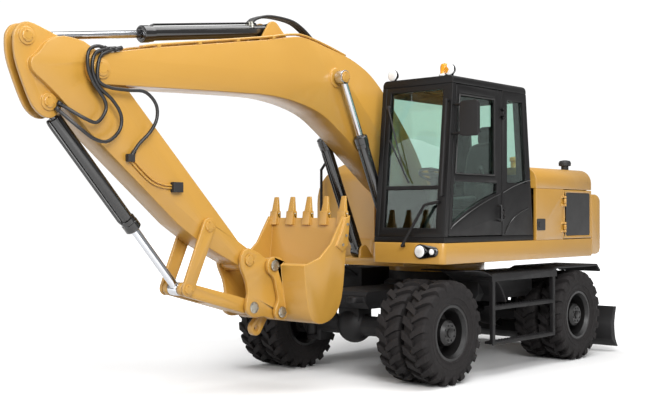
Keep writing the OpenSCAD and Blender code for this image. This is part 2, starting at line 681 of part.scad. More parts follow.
function boom_at(s, n) = along(foot, tip, s * norm(tip - foot), n);
boom_top = [boom_at(0.05, 250), boom_at(0.136, 640), boom_at(0.28, 1060), boom_at(0.371, 1180), boom_at(0.472, 1170),
  boom_at(0.535, 1145), boom_at(0.573, 1087), boom_at(0.645, 920), boom_at(0.893, 385), boom_at(1.0, 135)];
boom_low = [boom_at(0.985, -110), boom_at(0.876, 45), boom_at(0.71, 285), boom_at(0.577, 455), boom_at(0.463, 490),
  boom_at(0.38, 390), boom_at(0.295, 240), boom_at(0.168, 15), boom_at(0.02, -140)];
module boom() {
  color(yellow) place() difference() {
    union() {
      slab(-boom_w / 2, boom_w / 2) polygon(concat(smooth(boom_top, 5), smooth(boom_low, 5)));
      rod(foot, 150, -boom_w / 2, boom_w / 2);
      rod(tip, 140, -boom_w / 2, boom_w / 2);
      rod(tip, 85, -boom_w / 2 - 16, boom_w / 2 + 16);
      rod(boom_eye, 100, -boom_w / 2 - 20, boom_w / 2 + 20);
      rod(boom_eye, 42, -boom_cyl_y + 70, boom_cyl_y - 70);
      both() slab(72, 100) hull() {
        translate(stick_base) circle(r = 85);
        translate([stick_base[0] - 300, 3330]) square([500, 20]);
      }
      rod(stick_base, 40, -100, 100);
    }
    rod(foot, 60 + play, -boom_w, boom_w);
    rod(tip, 430, -stick_w / 2 - air, stick_w / 2 + air);
  }
  color(yellow) place() rod(tip, 55, -boom_w / 2, boom_w / 2);
}
module boom_barrels() {
  color(black) place() both() difference() {
    union() {
      rod(boom_base, 70, boom_cyl_y - boom_cyl_d / 2 + 6, boom_cyl_y + boom_cyl_d / 2 - 6);
      tube(boom_base, boom_eye, boom_cyl_y, boom_cyl_d / 2, 0, 1360);
    }
    rod(boom_base, 42 + play, 0, 500);
    tube(boom_base, boom_eye, boom_cyl_y, 38 + play, 100, 1500);
  }
}
module boom_rods() {
  l = norm(boom_eye - boom_base);
  color(steel) place() both() {
    tube(boom_base, boom_eye, boom_cyl_y, 38, l - 1290, l);
    rod(boom_eye, 70, boom_cyl_y - 45, boom_cyl_y + 45);
  }
}
module stick_barrel() {
  color(black) place() difference() {
    union() {
      rod(stick_base, 70, -56, 56);
      tube(stick_base, stick_eye, 0, 62, 0, 1570);
    }
    rod(stick_base, 40 + play, -100, 100);
    tube(stick_base, stick_eye, 0, 34 + play, 200, 1600);
  }
}
module stick_rod() {
  l = norm(stick_eye - stick_base);
  color(steel) place() {
    tube(stick_base, stick_eye, 0, 34, l - 1300, l);
    rod(stick_eye, 62, -horn_w / 2 + 40, horn_w / 2 - 40);
  }
}
function stick_at(s, n) = along(tip, nose, s, n);
module stick() {
  h = horn_w / 2;
  color(yellow) place() difference() {
    union() {
      slab(-stick_w / 2, stick_w / 2) polygon(concat([for (q = smooth([[-250, -60], [-400, 60], [-462, 200], [-455, 330],
        [-460, 420], [-391, 472], [-239, 455], [-100, 440]], 3)) stick_at(q[0], q[1])], [stick_at(300, 430), stick_at(1500, 330),
        stick_at(1840, 260), stick_at(2300, 105), stick_at(2440, 0), stick_at(2330, -105), stick_at(2150, -60),
        stick_at(350, -110), stick_at(0, -140)]));
      slab(-h, h) polygon([for (q = smooth([[-300, 20], [-620, 170], [-695, 250], [-700, 320], [-668, 385], [-548, 490],
        [-350, 585], [-183, 645], [-70, 640], [0, 590], [15, 520], [0, 430], [0, 200]], 3)) stick_at(q[0], q[1])]);
      rod(nose, 105, -stick_w / 2, stick_w / 2);
      both() rod(stick_eye, 72, h - 1, h + 16);
      both() rod(crowd_base, 72, h - 1, h + 16);
      rod(rocker_pin, 40, -165, 165);
      rod(nose, 45, -175, 175);
    }
    rod(tip, 55 + play, -300, 300);
    slab(34 - h, h - 34) polygon([stick_at(-900, -200), stick_at(-900, 800), stick_at(-330, 800), stick_at(-330, 250),
      stick_at(-180, -200)]);
    slab(34 - h, h - 34) polygon([for (q = [[-260, -100], [250, -100], [250, 160], [-260, 160]]) along(crowd_base, rocker_eye, q[0], q[1])]);
  }
  color(yellow) place() rod(crowd_base, 40, 1 - h, h - 1);
}
module bucket_barrel() {
  color(black) place() difference() {
    union() {
      rod(crowd_base, 68, -horn_w / 2 + 40, horn_w / 2 - 40);
      tube(crowd_base, rocker_eye, 0, horn_w / 2 - 41, 0, 160);
      tube(crowd_base, rocker_eye, 0, 60, 155, 1370);
    }
    rod(crowd_base, 40 + play, -100, 100);
    tube(crowd_base, rocker_eye, 0, 38 + play, 200, 1600);
  }
}
module bucket_rod() {
  l = norm(rocker_eye - crowd_base);
  color(steel) place() {
    tube(crowd_base, rocker_eye, 0, 38, l - 1100, l);
    rod(rocker_eye, 60, -60, 60);
  }
}
module rocker() {
  color(yellow) place() difference() {
    both() {
      slab(stick_w / 2 + air, stick_w / 2 + air + 32) hull() {
        translate(rocker_pin) circle(r = 75);
        translate(rocker_eye) circle(r = 65);
      }
      rod(rocker_eye, 35, 68, stick_w / 2 + air + 32);
    }
    rod(rocker_pin, 40 + play, -300, 300);
  }
}
module link() {
  color(yellow) place() difference() {
    union() {
      slab(-stick_w / 2, stick_w / 2) hull() {
        translate(rocker_eye) circle(r = 62);
        translate(link_eye) circle(r = 70);
      }
    }
    rod(rocker_eye, 35 + play, -300, 300);
    slab(-68, 68) translate(rocker_eye) circle(r = 330);
  }
}
module coupler() {
  color(yellow) place() difference() {
    union() {
      both() slab(stick_w / 2 + air, stick_w / 2 + air + 40) polygon(smooth([[3250, 1390], [3130, 1345], [3035, 1290],
        [2970, 1292], [2905, 1250], [2898, 1170], [2912, 1050], [2880, 930], [2832, 840], [2820, 762], [2866, 706], [2950, 708],
        [3060, 735], [3190, 735], [3275, 785], [3288, 860], [3262, 960], [3285, 1080], [3345, 1200], [3358, 1290], [3320, 1362], [3250, 1390]], 3));
      rod(ear_top, 45, -stick_w / 2 - air - 100, stick_w / 2 + air + 100);
      rod(ear_low, 45, -stick_w / 2 - air - 100, stick_w / 2 + air + 100);
      slab(-30, 30) hull() {
        translate(lift_eye) circle(r = 70);
        translate(ear_low) circle(r = 44);
      }
    }
    rod(nose, 45 + play, -300, 300);
    rod(lift_eye, 30, -100, 100);
  }
}
bucket_shell = [[2225, 1660], [2265, 1300], [2310, 950], [2370, 790], [2480, 690], [2620, 655], [2740, 690], [2800, 790], [2840, 980], [2870, 1220]];
module bucket() {
  c = smooth(bucket_shell, 5);
  color(yellow) place() {
    slab(-bucket_w / 2, bucket_w / 2) difference() {
      polygon(concat(c, [[2560, 1400], [2440, 1600], [2300, 1700]]));
      offset(delta = -bucket_t) polygon(concat(c, [[2560, 2400], [2300, 2400], [2190, 1960]]));
    }
    both() slab(bucket_w / 2 - bucket_t, bucket_w / 2)
      polygon(concat(c, [[2640, 1290], [2480, 1420], [2300, 1690]]));
    for (i = [0 : teeth - 1]) translate([0, (i - (teeth - 1) / 2) * (bucket_w - 110) / (teeth - 1), 0]) {
      slab(-50, 50) polygon([[2214, 1600], [2292, 1600], [2276, 1740], [2214, 1740]]);
      intersection() {
        slab(-45, 45) polygon([[2218, 1700], [2270, 1700], [2236, 1890], [2216, 1890]]);
        slabx(2150, 2350) polygon([[-45, 1690], [45, 1690], [27, 1895], [-27, 1895]]);
      }
    }
    both() slab(bucket_w / 2 - 1, bucket_w / 2 + 18) polygon([[2250, 1400], [2330, 1340], [2420, 1400], [2330, 1560], [2290, 1670], [2215, 1700]]);
    both() difference() {
      slab(stick_w / 2 + air + 46, stick_w / 2 + air + 86) polygon(smooth([[2960, 1302], [2880, 1290], [2820, 1230],
        [2800, 1100], [2770, 900], [2790, 720], [2850, 690], [2930, 715], [2950, 790], [2905, 880], [2930, 1000], [2965, 1100],
        [3040, 1160], [3050, 1230], [3020, 1285], [2960, 1302]], 3));
      rod(ear_top, 45 + play, 0, 400);
      rod(ear_low, 45 + play, 0, 400);
    }
  }
}
chassis();
front_axle();
rear_axle();
driveline();
step_left();
step_right();
knuckle_left();
knuckle_right();
tie_rod();
tyres_front_left();
tyres_front_right();
tyres_rear_left();
tyres_rear_right();
rims_front_left();
rims_front_right();
rims_rear_left();
rims_rear_right();
blade();
blade_barrels();
blade_rods();
turntable();
counterweight();
engine();
hood();
side_door_left();
side_door_right();
side_panels();
right_housing();
rails();
cab_floor();
cab_front();
cab_right();
cab_rear();
cab_quarter();
cab_roof();
cab_glass();
cab_door();
door_glass();
seat();
console();
lamps();
mirror_left();
boom();
boom_barrels();
boom_rods();
stick_barrel();
stick_rod();
stick();
bucket_barrel();
bucket_rod();
rocker();
link();
coupler();
bucket();
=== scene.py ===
import json
from math import cos, pi, radians, sin

import bmesh
import bpy
import numpy as np
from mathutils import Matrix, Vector


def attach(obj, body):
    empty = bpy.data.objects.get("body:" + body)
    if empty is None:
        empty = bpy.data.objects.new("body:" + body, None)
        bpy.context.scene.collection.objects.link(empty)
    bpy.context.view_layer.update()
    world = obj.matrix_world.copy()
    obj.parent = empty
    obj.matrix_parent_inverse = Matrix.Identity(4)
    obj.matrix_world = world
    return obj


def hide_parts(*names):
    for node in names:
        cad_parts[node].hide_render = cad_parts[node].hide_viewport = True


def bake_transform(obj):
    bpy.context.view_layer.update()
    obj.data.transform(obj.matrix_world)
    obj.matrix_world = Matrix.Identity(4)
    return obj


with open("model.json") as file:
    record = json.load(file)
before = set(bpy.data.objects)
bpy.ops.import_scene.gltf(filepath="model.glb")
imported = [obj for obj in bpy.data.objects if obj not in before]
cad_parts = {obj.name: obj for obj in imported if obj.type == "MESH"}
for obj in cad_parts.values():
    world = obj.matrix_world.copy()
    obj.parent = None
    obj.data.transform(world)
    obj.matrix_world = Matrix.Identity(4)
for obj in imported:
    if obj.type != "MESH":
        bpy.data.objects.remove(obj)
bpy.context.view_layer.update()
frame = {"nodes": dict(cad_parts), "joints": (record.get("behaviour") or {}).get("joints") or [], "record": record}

joints = {joint["name"]: joint for joint in frame["joints"]}
swingAxis = joints["swing"]["pos_m"]
# the swing axis on the ground: sizes below are mm from here
origin = np.array([swingAxis[0], swingAxis[1], 0.0])
corners = ("front_left", "front_right", "rear_left", "rear_right")
print("frame loaded:", len(frame["nodes"]), "nodes")


def place(points):
    return np.asarray(points, float) / 1000 + origin  # mm about the swing axis to metres in the frame


# camera at the photograph's place, from the outlines of the three wheels that show
photo = {"width": 655, "focal": 1051.2, "sensor": 36.0}
cameraAt = {"spot": (10161, 7249, 1702), "yaw": 221.43, "pitch": 0.46}

cameraData = bpy.data.cameras.new("photoCamera")
cameraData.sensor_width = photo["sensor"]
cameraData.lens = photo["focal"] * photo["sensor"] / photo["width"]
cameraData.clip_end = 200
camera = bpy.data.objects.new("photoCamera", cameraData)
bpy.context.collection.objects.link(camera)
camera.location = place(cameraAt["spot"])
yaw, pitch = radians(cameraAt["yaw"]), radians(cameraAt["pitch"])
lookAlong = Vector((cos(pitch) * cos(yaw), cos(pitch) * sin(yaw), sin(pitch)))
camera.rotation_euler = lookAlong.to_track_quat("-Z", "Y").to_euler()
bpy.context.scene.camera = camera


# materials
def linear(code):
    srgb = np.array([int(code[i:i + 2], 16) for i in (1, 3, 5)]) / 255
    return (*np.where(srgb <= 0.04045, srgb / 12.92, ((srgb + 0.055) / 1.055) ** 2.4), 1.0)


def addNode(tree, kind, sockets=None, **settings):
    node = tree.nodes.new(kind)
    for key, value in settings.items():
        setattr(node, key, value)
    for key, value in (sockets or {}).items():
        if isinstance(value, bpy.types.NodeSocket):
            tree.links.new(value, node.inputs[key])
        else:
            node.inputs[key].default_value = value
    return node


def startMaterial(name, **sockets):
    material = bpy.data.materials.new(name)
    material.use_nodes = True
    tree = material.node_tree
    tree.nodes.clear()
    shader = addNode(tree, "ShaderNodeBsdfPrincipled")
    for key, value in sockets.items():
        shader.inputs[key.replace("_", " ")].default_value = value
    addNode(tree, "ShaderNodeOutputMaterial", {"Surface": shader.outputs["BSDF"]})
    coords = addNode(tree, "ShaderNodeTexCoord").outputs["Object"]
    return material, tree, shader, coords


def noiseAt(tree, coords, mm, detail=3.0):
    noise = addNode(tree, "ShaderNodeTexNoise", {"Vector": coords, "Scale": 1000 / mm, "Detail": detail})
    return noise.outputs["Fac"]


def blendColours(tree, factor, first, second):
    mix = addNode(tree, "ShaderNodeMix", data_type="RGBA")
    tree.links.new(factor, mix.inputs["Factor"])
    mix.inputs["A"].default_value = linear(first)
    mix.inputs["B"].default_value = linear(second)
    return mix.outputs["Result"]


def bumpFrom(tree, height, mm, strength):
    bump = addNode(tree, "ShaderNodeBump", {"Height": height, "Distance": mm / 1000, "Strength": strength})
    return bump.outputs["Normal"]


def spread(tree, factor, low, high):
    rng = addNode(tree, "ShaderNodeMapRange", {"Value": factor, "From Min": 0.3, "From Max": 0.7,
                                               "To Min": low, "To Max": high})
    return rng.outputs["Result"]


# sprayed coat on steel: tone drifts over hundreds of mm, the skin of the coat ripples every few mm
def sprayCoat(name, first, second, low, high, rippleMm, ripple, **sockets):
    material, tree, shader, coords = startMaterial(name, **sockets)
    drift = noiseAt(tree, coords, 700)
    tree.links.new(blendColours(tree, drift, first, second), shader.inputs["Base Color"])
    tree.links.new(spread(tree, noiseAt(tree, coords, 180, 5.0), low, high), shader.inputs["Roughness"])
    tree.links.new(bumpFrom(tree, noiseAt(tree, coords, rippleMm), 1.0, ripple), shader.inputs["Normal"])
    return material


# polyurethane enamel, sprayed: a soft even gloss with a faint orange peel
yellowEnamel = sprayCoat("yellowEnamel", "#C3943F", "#BB8A36", 0.34, 0.46, 9, 0.05, Coat_Weight=0.5,
                         Coat_Roughness=0.25)
# textured powder coat on the cab: dark warm grey with a fine leathery grain, drawn coarser than real to show
cabPowderCoat = sprayCoat("cabPowderCoat", "#131212", "#0E0D0E", 0.42, 0.55, 7, 0.12, Specular_IOR_Level=0.25)
# chassis primer paint: darker and flatter than the cab
chassisPaint = sprayCoat("chassisPaint", "#1A191A", "#131213", 0.5, 0.65, 12, 0.12, Specular_IOR_Level=0.3)
# gloss black enamel on ram barrels
glossBlack = sprayCoat("glossBlack", "#151414", "#0F0E0E", 0.14, 0.22, 10, 0.03, Coat_Weight=0.6,
                       Coat_Roughness=0.08)
# satin black on rims
satinBlack = sprayCoat("satinBlack", "#191818", "#121111", 0.36, 0.5, 12, 0.08)
# cast iron, painted: sand grain of a few mm
castIron = sprayCoat("castIron", "#232222", "#1A1919", 0.55, 0.75, 5, 0.35)
# moulded polypropylene: fine spark grain
mouldedPlastic = sprayCoat("mouldedPlastic", "#242324", "#1C1B1C", 0.5, 0.62, 3, 0.2)
# woven seat cloth
seatCloth = sprayCoat("seatCloth", "#2A2A2D", "#202023", 0.85, 0.95, 4, 0.5, Sheen_Weight=0.3)
# amber polycarbonate of the beacon
amberPolycarbonate, tree, shader, coords = startMaterial(
    "amberPolycarbonate", Base_Color=linear("#F5A50F"), Roughness=0.18, Transmission_Weight=0.25, IOR=1.58,
    Coat_Weight=0.4)
tree.links.new(bumpFrom(tree, noiseAt(tree, coords, 12), 1.0, 0.05), shader.inputs["Normal"])
# clear polycarbonate of lamps
clearLens, tree, shader, coords = startMaterial(
    "clearLens", Base_Color=linear("#F2F4F5"), Roughness=0.06, IOR=1.58, Coat_Weight=0.6)
tree.links.new(bumpFrom(tree, noiseAt(tree, coords, 14), 1.5, 0.25), shader.inputs["Normal"])
# tinted safety glass: pale green through its thickness
tintedGlass, tree, shader, coords = startMaterial("tintedGlass", Base_Color=linear("#C9E2D8"), Roughness=0.0,
                                                  Transmission_Weight=1.0, IOR=1.45)
tree.links.new(bumpFrom(tree, noiseAt(tree, coords, 400), 0.3, 0.02), shader.inputs["Normal"])
# hard chrome on rods: bright, with faint rings of polish along the rod
hardChrome, tree, shader, coords = startMaterial("hardChrome", Base_Color=linear("#C4C6CA"), Metallic=1.0)
tree.links.new(spread(tree, noiseAt(tree, coords, 60, 5.0), 0.1, 0.2), shader.inputs["Roughness"])
# vulcanised rubber of tyres: matt dark grey, a bloom of paler dust over hundreds of mm and a fine grain
tyreRubber, tree, shader, coords = startMaterial("tyreRubber", Specular_IOR_Level=0.25)
bloom = noiseAt(tree, coords, 160, 6.0)
tree.links.new(blendColours(tree, bloom, "#1D1B1B", "#2A2727"), shader.inputs["Base Color"])
tree.links.new(spread(tree, noiseAt(tree, coords, 40, 4.0), 0.68, 0.85), shader.inputs["Roughness"])
tree.links.new(bumpFrom(tree, noiseAt(tree, coords, 5), 1.0, 0.3), shader.inputs["Normal"])
# hydraulic hose: black rubber cover, smooth, a little gloss
hoseRubber = sprayCoat("hoseRubber", "#141313", "#1A1818", 0.35, 0.5, 6, 0.1)
# zinc plated steel of fittings and bolts
zincPlate, tree, shader, coords = startMaterial("zincPlate", Base_Color=linear("#A9A79E"), Metallic=1.0)
tree.links.new(spread(tree, noiseAt(tree, coords, 25, 4.0), 0.28, 0.45), shader.inputs["Roughness"])
print("materials made:", len(bpy.data.materials))


# meshes
creaseAngle = radians(35)


def gridFaces(rows, columns, closeRows=False, closeColumns=False):
    row, column = np.meshgrid(np.arange(rows if closeRows else rows - 1),
                              np.arange(columns if closeColumns else columns - 1), indexing="ij")
    nextRow, nextColumn = (row + 1) % rows, (column + 1) % columns
    corners = (row * columns + column, row * columns + nextColumn,
               nextRow * columns + nextColumn, nextRow * columns + column)
    return np.stack(corners, -1).reshape(-1, 4)


def smoothCurve(points, count):
    # Catmull-Rom: each span is a cubic through its two points, with slopes from their neighbours
    points = np.asarray(points, float)
    padded = np.vstack([2 * points[0] - points[1], points, 2 * points[-1] - points[-2]])
    spot = np.linspace(0, len(points) - 1, count)
    span = np.minimum(spot.astype(int), len(points) - 2)
    t = (spot - span)[:, None]
    a, b, c, d = (padded[span + i] for i in range(4))
    square, cube = 2 * a - 5 * b + 4 * c - d, 3 * b - a - 3 * c + d
    return 0.5 * (2 * b + (c - a) * t + square * t ** 2 + cube * t ** 3)


def joined(shapes):
    points, faces, count = [], [], 0
    for cloud, polygons in shapes:
        points.append(cloud)
        faces += [[i + count for i in face] for face in polygons]
        count += len(cloud)
    return np.vstack(points), faces


def turnOutward(mesh, mergeDistance=0.0):
    work = bmesh.new()
    work.from_mesh(mesh)
    if mergeDistance:
        bmesh.ops.remove_doubles(work, verts=work.verts, dist=mergeDistance)
    bmesh.ops.recalc_face_normals(work, faces=work.faces)
    work.to_mesh(mesh)
    work.free()


def addPiece(name, points, faces, material, body, smooth=True, bevelMm=0, replaced=()):
    mesh = bpy.data.meshes.new(name)
    mesh.from_pydata(place(points).tolist(), [], [list(face) for face in faces])
    mesh.validate()
    return finishPiece(name, mesh, material, body, smooth, bevelMm, replaced)


def finishPiece(name, mesh, material, body, smooth, bevelMm, replaced):
    mesh.materials.clear()
    mesh.materials.append(material)
    mesh.polygons.foreach_set("use_smooth", np.full(len(mesh.polygons), smooth))
    mesh.update()
    piece = bpy.data.objects.new(name, mesh)
    bpy.context.collection.objects.link(piece)
    if bevelMm:
        bevel = piece.modifiers.new("edges", "BEVEL")
        bevel.width = bevelMm / 1000
        bevel.segments = 2
        bevel.limit_method = "ANGLE"
        bevel.angle_limit = radians(40)
        bevel.use_clamp_overlap = False
        bevel.harden_normals = True
    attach(piece, body)
    if replaced:
        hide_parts(*replaced)
    return piece


bodyOf = {node: body for body, nodes in frame["record"]["behaviour"]["bodies"].items() for node in nodes}


def soften(node, material, bevelMm):
    # a copy of the node with its seams joined, its flat faces whole and its edges broken
    mesh = bpy.data.objects[node].data.copy()
    work = bmesh.new()
    work.from_mesh(mesh)
    bmesh.ops.remove_doubles(work, verts=work.verts, dist=2e-5)
    bmesh.ops.dissolve_limit(work, angle_limit=radians(0.4), verts=work.verts, edges=work.edges)
    work.to_mesh(mesh)
    work.free()
    return finishPiece(node + "_body", mesh, material, bodyOf[node], True, bevelMm, (node,))


yellowNodes = ["boom", "stick", "rocker", "link", "coupler", "bucket", "turntable", "counterweight", "hood",
               "side_door_left", "side_door_right", "side_panels", "right_housing"]
cabNodes = ["cab_floor", "cab_front", "cab_right", "cab_rear", "cab_quarter", "cab_roof", "cab_door"]
darkNodes = ["chassis", "front_axle", "rear_axle", "step_left", "step_right", "knuckle_left", "knuckle_right",
             "blade", "rails", "mirror_left"]
barrelNodes = ["boom_barrels", "stick_barrel", "bucket_barrel", "blade_barrels"]
chromeNodes = ["boom_rods", "stick_rod", "bucket_rod", "blade_rods", "tie_rod"]
otherNodes = {"driveline": castIron, "engine": castIron, "cab_glass": tintedGlass, "door_glass": tintedGlass,
              "console": mouldedPlastic}
otherNodes.update({"rims_" + corner: satinBlack for corner in corners})
coats = ((yellowNodes, yellowEnamel, 6), (cabNodes, cabPowderCoat, 8), (darkNodes, chassisPaint, 5),
         (barrelNodes, glossBlack, 3), (chromeNodes, hardChrome, 2))
for nodes, material, bevelMm in coats:
    for node in nodes:
        soften(node, material, bevelMm)
for node, material in otherNodes.items():
    bpy.data.objects[node].data.materials.clear()
    bpy.data.objects[node].data.materials.append(material)


def dress(node, bevelMm, materials, pick):
    # one piece in several materials: pick gives each face's index from its middle in mm and its normal
    piece = soften(node, materials[0], bevelMm)
    for material in materials[1:]:
        piece.data.materials.append(material)
    for face in piece.data.polygons:
        middle = (np.array(face.center) - origin) * 1000
        face.material_index = pick(middle, face.normal)
    return piece


beacon = {"middle": (1350, 1065), "reach": 70, "domeFrom": 3137}
roofLampsFrom = 3000


def lampPart(middle, normal):
    # the beacon's dome is amber and lamp faces are clear: flat ones on the roof, domed ones anywhere
    if np.abs(middle[:2] - beacon["middle"]).max() < beacon["reach"] and middle[2] > beacon["domeFrom"]:
        return 2
    facing = abs(normal[0])
    return 1 if facing > 0.8 and (middle[2] > roofLampsFrom or facing < 0.999) else 0


dress("lamps", 0, [glossBlack, clearLens, amberPolycarbonate], lampPart)

# seat: foam pads, each a box rounded by powers of its cosines; the pedestal comes later
pads = {"cushion": ((440, 800, 1835), (262, 252, 72), 4), "back": ((205, 800, 2170), (68, 242, 335), -10),
        "headrest": ((130, 800, 2585), (48, 122, 105), -8)}


def pillow(middle, half, tilt, rows=25, columns=48):
    down = np.linspace(-pi / 2, pi / 2, rows)[:, None]
    turn = np.linspace(0, 2 * pi, columns, endpoint=False)[None, :]

    def power(value, share):
        return np.sign(value) * np.abs(value) ** share

    x = half[0] * power(np.cos(down), 0.42) * power(np.cos(turn), 0.4)
    y = half[1] * power(np.cos(down), 0.42) * power(np.sin(turn), 0.4)
    z = half[2] * power(np.sin(down), 0.55) * np.ones_like(turn)
    c, t = cos(radians(tilt)), sin(radians(tilt))
    points = np.stack([x * c + z * t, y, z * c - x * t], -1).reshape(-1, 3) + middle
    return points, gridFaces(rows, columns, closeColumns=True)


pillows = [pillow(np.array(middle), half, tilt) for middle, half, tilt in pads.values()]
seatPads = addPiece("seat_pads", *joined(pillows), seatCloth, "upper", replaced=("seat",))
turnOutward(seatPads.data, 1e-4)
print("nodes dressed")

# tyres: a turned carcass with chevron lugs, two to a wheel
tyre = {"radius": 525, "width": 275, "rimRadius": 280, "groove": 38, "lugs": 21, "barWidth": 74, "sweep": 95,
        "segments": 96, "gap": 40, "outer": 1275}


def carcass(side):
    half = tyre["width"] / 2
    deep = tyre["radius"] - tyre["groove"]
    rim = tyre["rimRadius"]
    section = [(rim, half - 24), (rim + 14, half - 12), (rim + 30, half - 16), (rim + 70, half - 6),
               (rim + 76, half - 1), (rim + 86, half - 3), (rim + 125, half), (deep - 40, half - 6),
               (deep - 14, half - 16), (deep, half - 46), (deep + 3, 0)]
    profile = smoothCurve(section, 44)
    profile = np.vstack([profile, profile[-2::-1] * (1, -1)])
    turn = np.linspace(0, 2 * pi, tyre["segments"], endpoint=False)
    radius, across = profile[:, 0], profile[:, 1]
    points = np.stack(np.broadcast_arrays(np.cos(turn)[:, None] * radius, across[None, :] * side,
                                          np.sin(turn)[:, None] * radius), -1)
    return points.reshape(-1, 3), gridFaces(len(turn), len(profile), closeRows=True, closeColumns=True)


def lugs(side):
    # a bar swept from the middle line to the shoulder: at each station a low and a high edge on both flanks
    half = tyre["width"] / 2
    across = np.array([-14, 22, 60, 96, 122, half + 1])
    top = tyre["radius"] - np.array([0, 0, 0, 2, 8, 30])
    low = tyre["radius"] - np.array([46, 46, 46, 48, 60, 96])
    along = tyre["sweep"] * np.array([0, 0.3, 0.58, 0.82, 0.94, 1.0])
    width = tyre["barWidth"] / 2 * np.array([0.74, 0.86, 0.94, 1.0, 1.02, 1.02])
    edge = np.stack([along - width * 1.22, along - width, along + width, along + width * 1.22], 1)
    height = np.stack([low, top, top, low], 1)
    station = np.arange(tyre["lugs"])
    points, faces = [], []
    for flank in (1, -1):
        turn = 2 * pi * (station + 0.25 * (1 - flank)) / tyre["lugs"]
        angle = turn[:, None, None] + edge[None] / tyre["radius"]
        lane = np.broadcast_to(across[:, None] * flank * side, angle.shape)
        block = np.stack([np.cos(angle) * height, lane, np.sin(angle) * height], -1)
        size = len(across) * 4
        ends = [[0, 1, 2, 3], [size - 1, size - 2, size - 3, size - 4]]
        flat = np.vstack([gridFaces(len(across), 4), ends])
        first = len(points) * size * tyre["lugs"]
        faces.append((flat[None] + (first + station * size)[:, None, None]).reshape(-1, 4))
        points.append(block.reshape(-1, 3))
    return np.vstack(points), np.vstack(faces)


for corner in corners:
    hub = np.array(joints["wheel_" + corner]["pos_m"])
    side = 1 if corner.endswith("left") else -1
    parts = []
    for lane in (0, 1):
        middle = tyre["outer"] - tyre["width"] / 2 - lane * (tyre["width"] + tyre["gap"])
        shift = np.array([(hub[0] - origin[0]) * 1000, side * middle, hub[2] * 1000])
        parts += [(cloud + shift, polygons) for cloud, polygons in (carcass(side), lugs(side))]
    piece = addPiece("tread_" + corner, *joined(parts), tyreRubber, "wheel_" + corner,
                     replaced=("tyres_" + corner,))
    turnOutward(piece.data)
    piece.data.set_sharp_from_angle(angle=creaseAngle)
print("tyres made")


# shapes that repeat below
offAxis = {"tube": (0.31, 0.9, 0.2), "turned": (0.31, 0.2, 0.93)}  # directions that lie along no axis in use


def unit(vector):
    vector = np.asarray(vector, float)
    return vector / np.linalg.norm(vector, axis=-1, keepdims=True)


def endCaps(rows, columns):
    last = (rows - 1) * columns
    return [list(range(columns))[::-1], list(range(last, last + columns))]


def sweptTube(path, radius, sides=10):
    # a ring of points at each station, square to the path, its first direction carried along
    path = np.asarray(path, float)
    ahead = unit(np.gradient(path, axis=0))
    side = unit(np.cross(ahead[0], offAxis["tube"]))
    turn = np.linspace(0, 2 * pi, sides, endpoint=False)[:, None]
    rings = []
    for spot, direction in zip(path, ahead):
        side = unit(side - direction * np.dot(side, direction))
        rings.append(spot + radius * (np.cos(turn) * side + np.sin(turn) * np.cross(direction, side)))
    faces = gridFaces(len(path), sides, closeColumns=True).tolist()
    return np.vstack(rings), faces + endCaps(len(path), sides)


def circleAbout(axis, turn):
    side = unit(np.cross(axis, offAxis["turned"]))
    return np.cos(turn)[:, None] * side + np.sin(turn)[:, None] * np.cross(axis, side)


def turned(profile, spot, axis, segments=28, ring=False):
    # a profile of (radius, height) turned about an axis through a spot, capped or closed on itself as a ring
    axis = unit(axis)
    radius, height = np.asarray(profile, float).T
    circle = circleAbout(axis, np.linspace(0, 2 * pi, segments, endpoint=False))
    points = (spot + height[:, None, None] * axis + radius[:, None, None] * circle[None]).reshape(-1, 3)
    faces = gridFaces(len(radius), segments, closeRows=ring, closeColumns=True).tolist()
    return points, faces if ring else faces + endCaps(len(radius), segments)


def plate(spot, right, up, outline, thick):
    # an outline in the plane of right and up, thickened along their cross product
    outline, right, up = np.asarray(outline, float), unit(right), unit(up)
    flat = spot + outline[:, :1] * right + outline[:, 1:] * up
    count = len(outline)
    walls = [[i, (i + 1) % count, count + (i + 1) % count, count + i] for i in range(count)]
    return np.vstack([flat, flat + thick * np.cross(right, up)]), endCaps(2, count) + walls


def roundedBox(width, height, radius, steps=5):
    turn = np.radians(np.linspace(0, 90, steps))
    corner = radius * np.stack([np.cos(turn), np.sin(turn)], 1)
    outline = []
    for quarter, signs in enumerate([(1, 1), (-1, 1), (-1, -1), (1, -1)]):
        c, s = cos(quarter * pi / 2), sin(quarter * pi / 2)
        middle = np.array(signs) * (width / 2 - radius, height / 2 - radius)
        outline.append(middle + corner @ np.array([[c, s], [-s, c]]))
    return np.vstack(outline)


def block(low, high):
    low = np.asarray(low, float)
    wide, deep, tall = np.asarray(high, float) - low
    return plate(low, (1, 0, 0), (0, 1, 0), [(0, 0), (wide, 0), (wide, deep), (0, deep)], tall)


def addJoined(name, shapes, material, body, **more):
    piece = addPiece(name, *joined(shapes), material, body, **more)
    piece.data.set_sharp_from_angle(angle=creaseAngle)
    return piece


def hexHeads(spots, axis, size, high):
    profile = [(size, 0), (size, high * 0.75), (size * 0.86, high)]
    return [turned(profile, np.asarray(spot, float), axis, 6) for spot in spots]


def ringOf(spot, axis, radius, count, start=0.0):
    turn = start + 2 * pi * np.arange(count) / count
    return np.asarray(spot, float) + radius * circleAbout(unit(axis), turn)


def inLane(line, lane):
    return [(x, lane, z) for x, z in line]


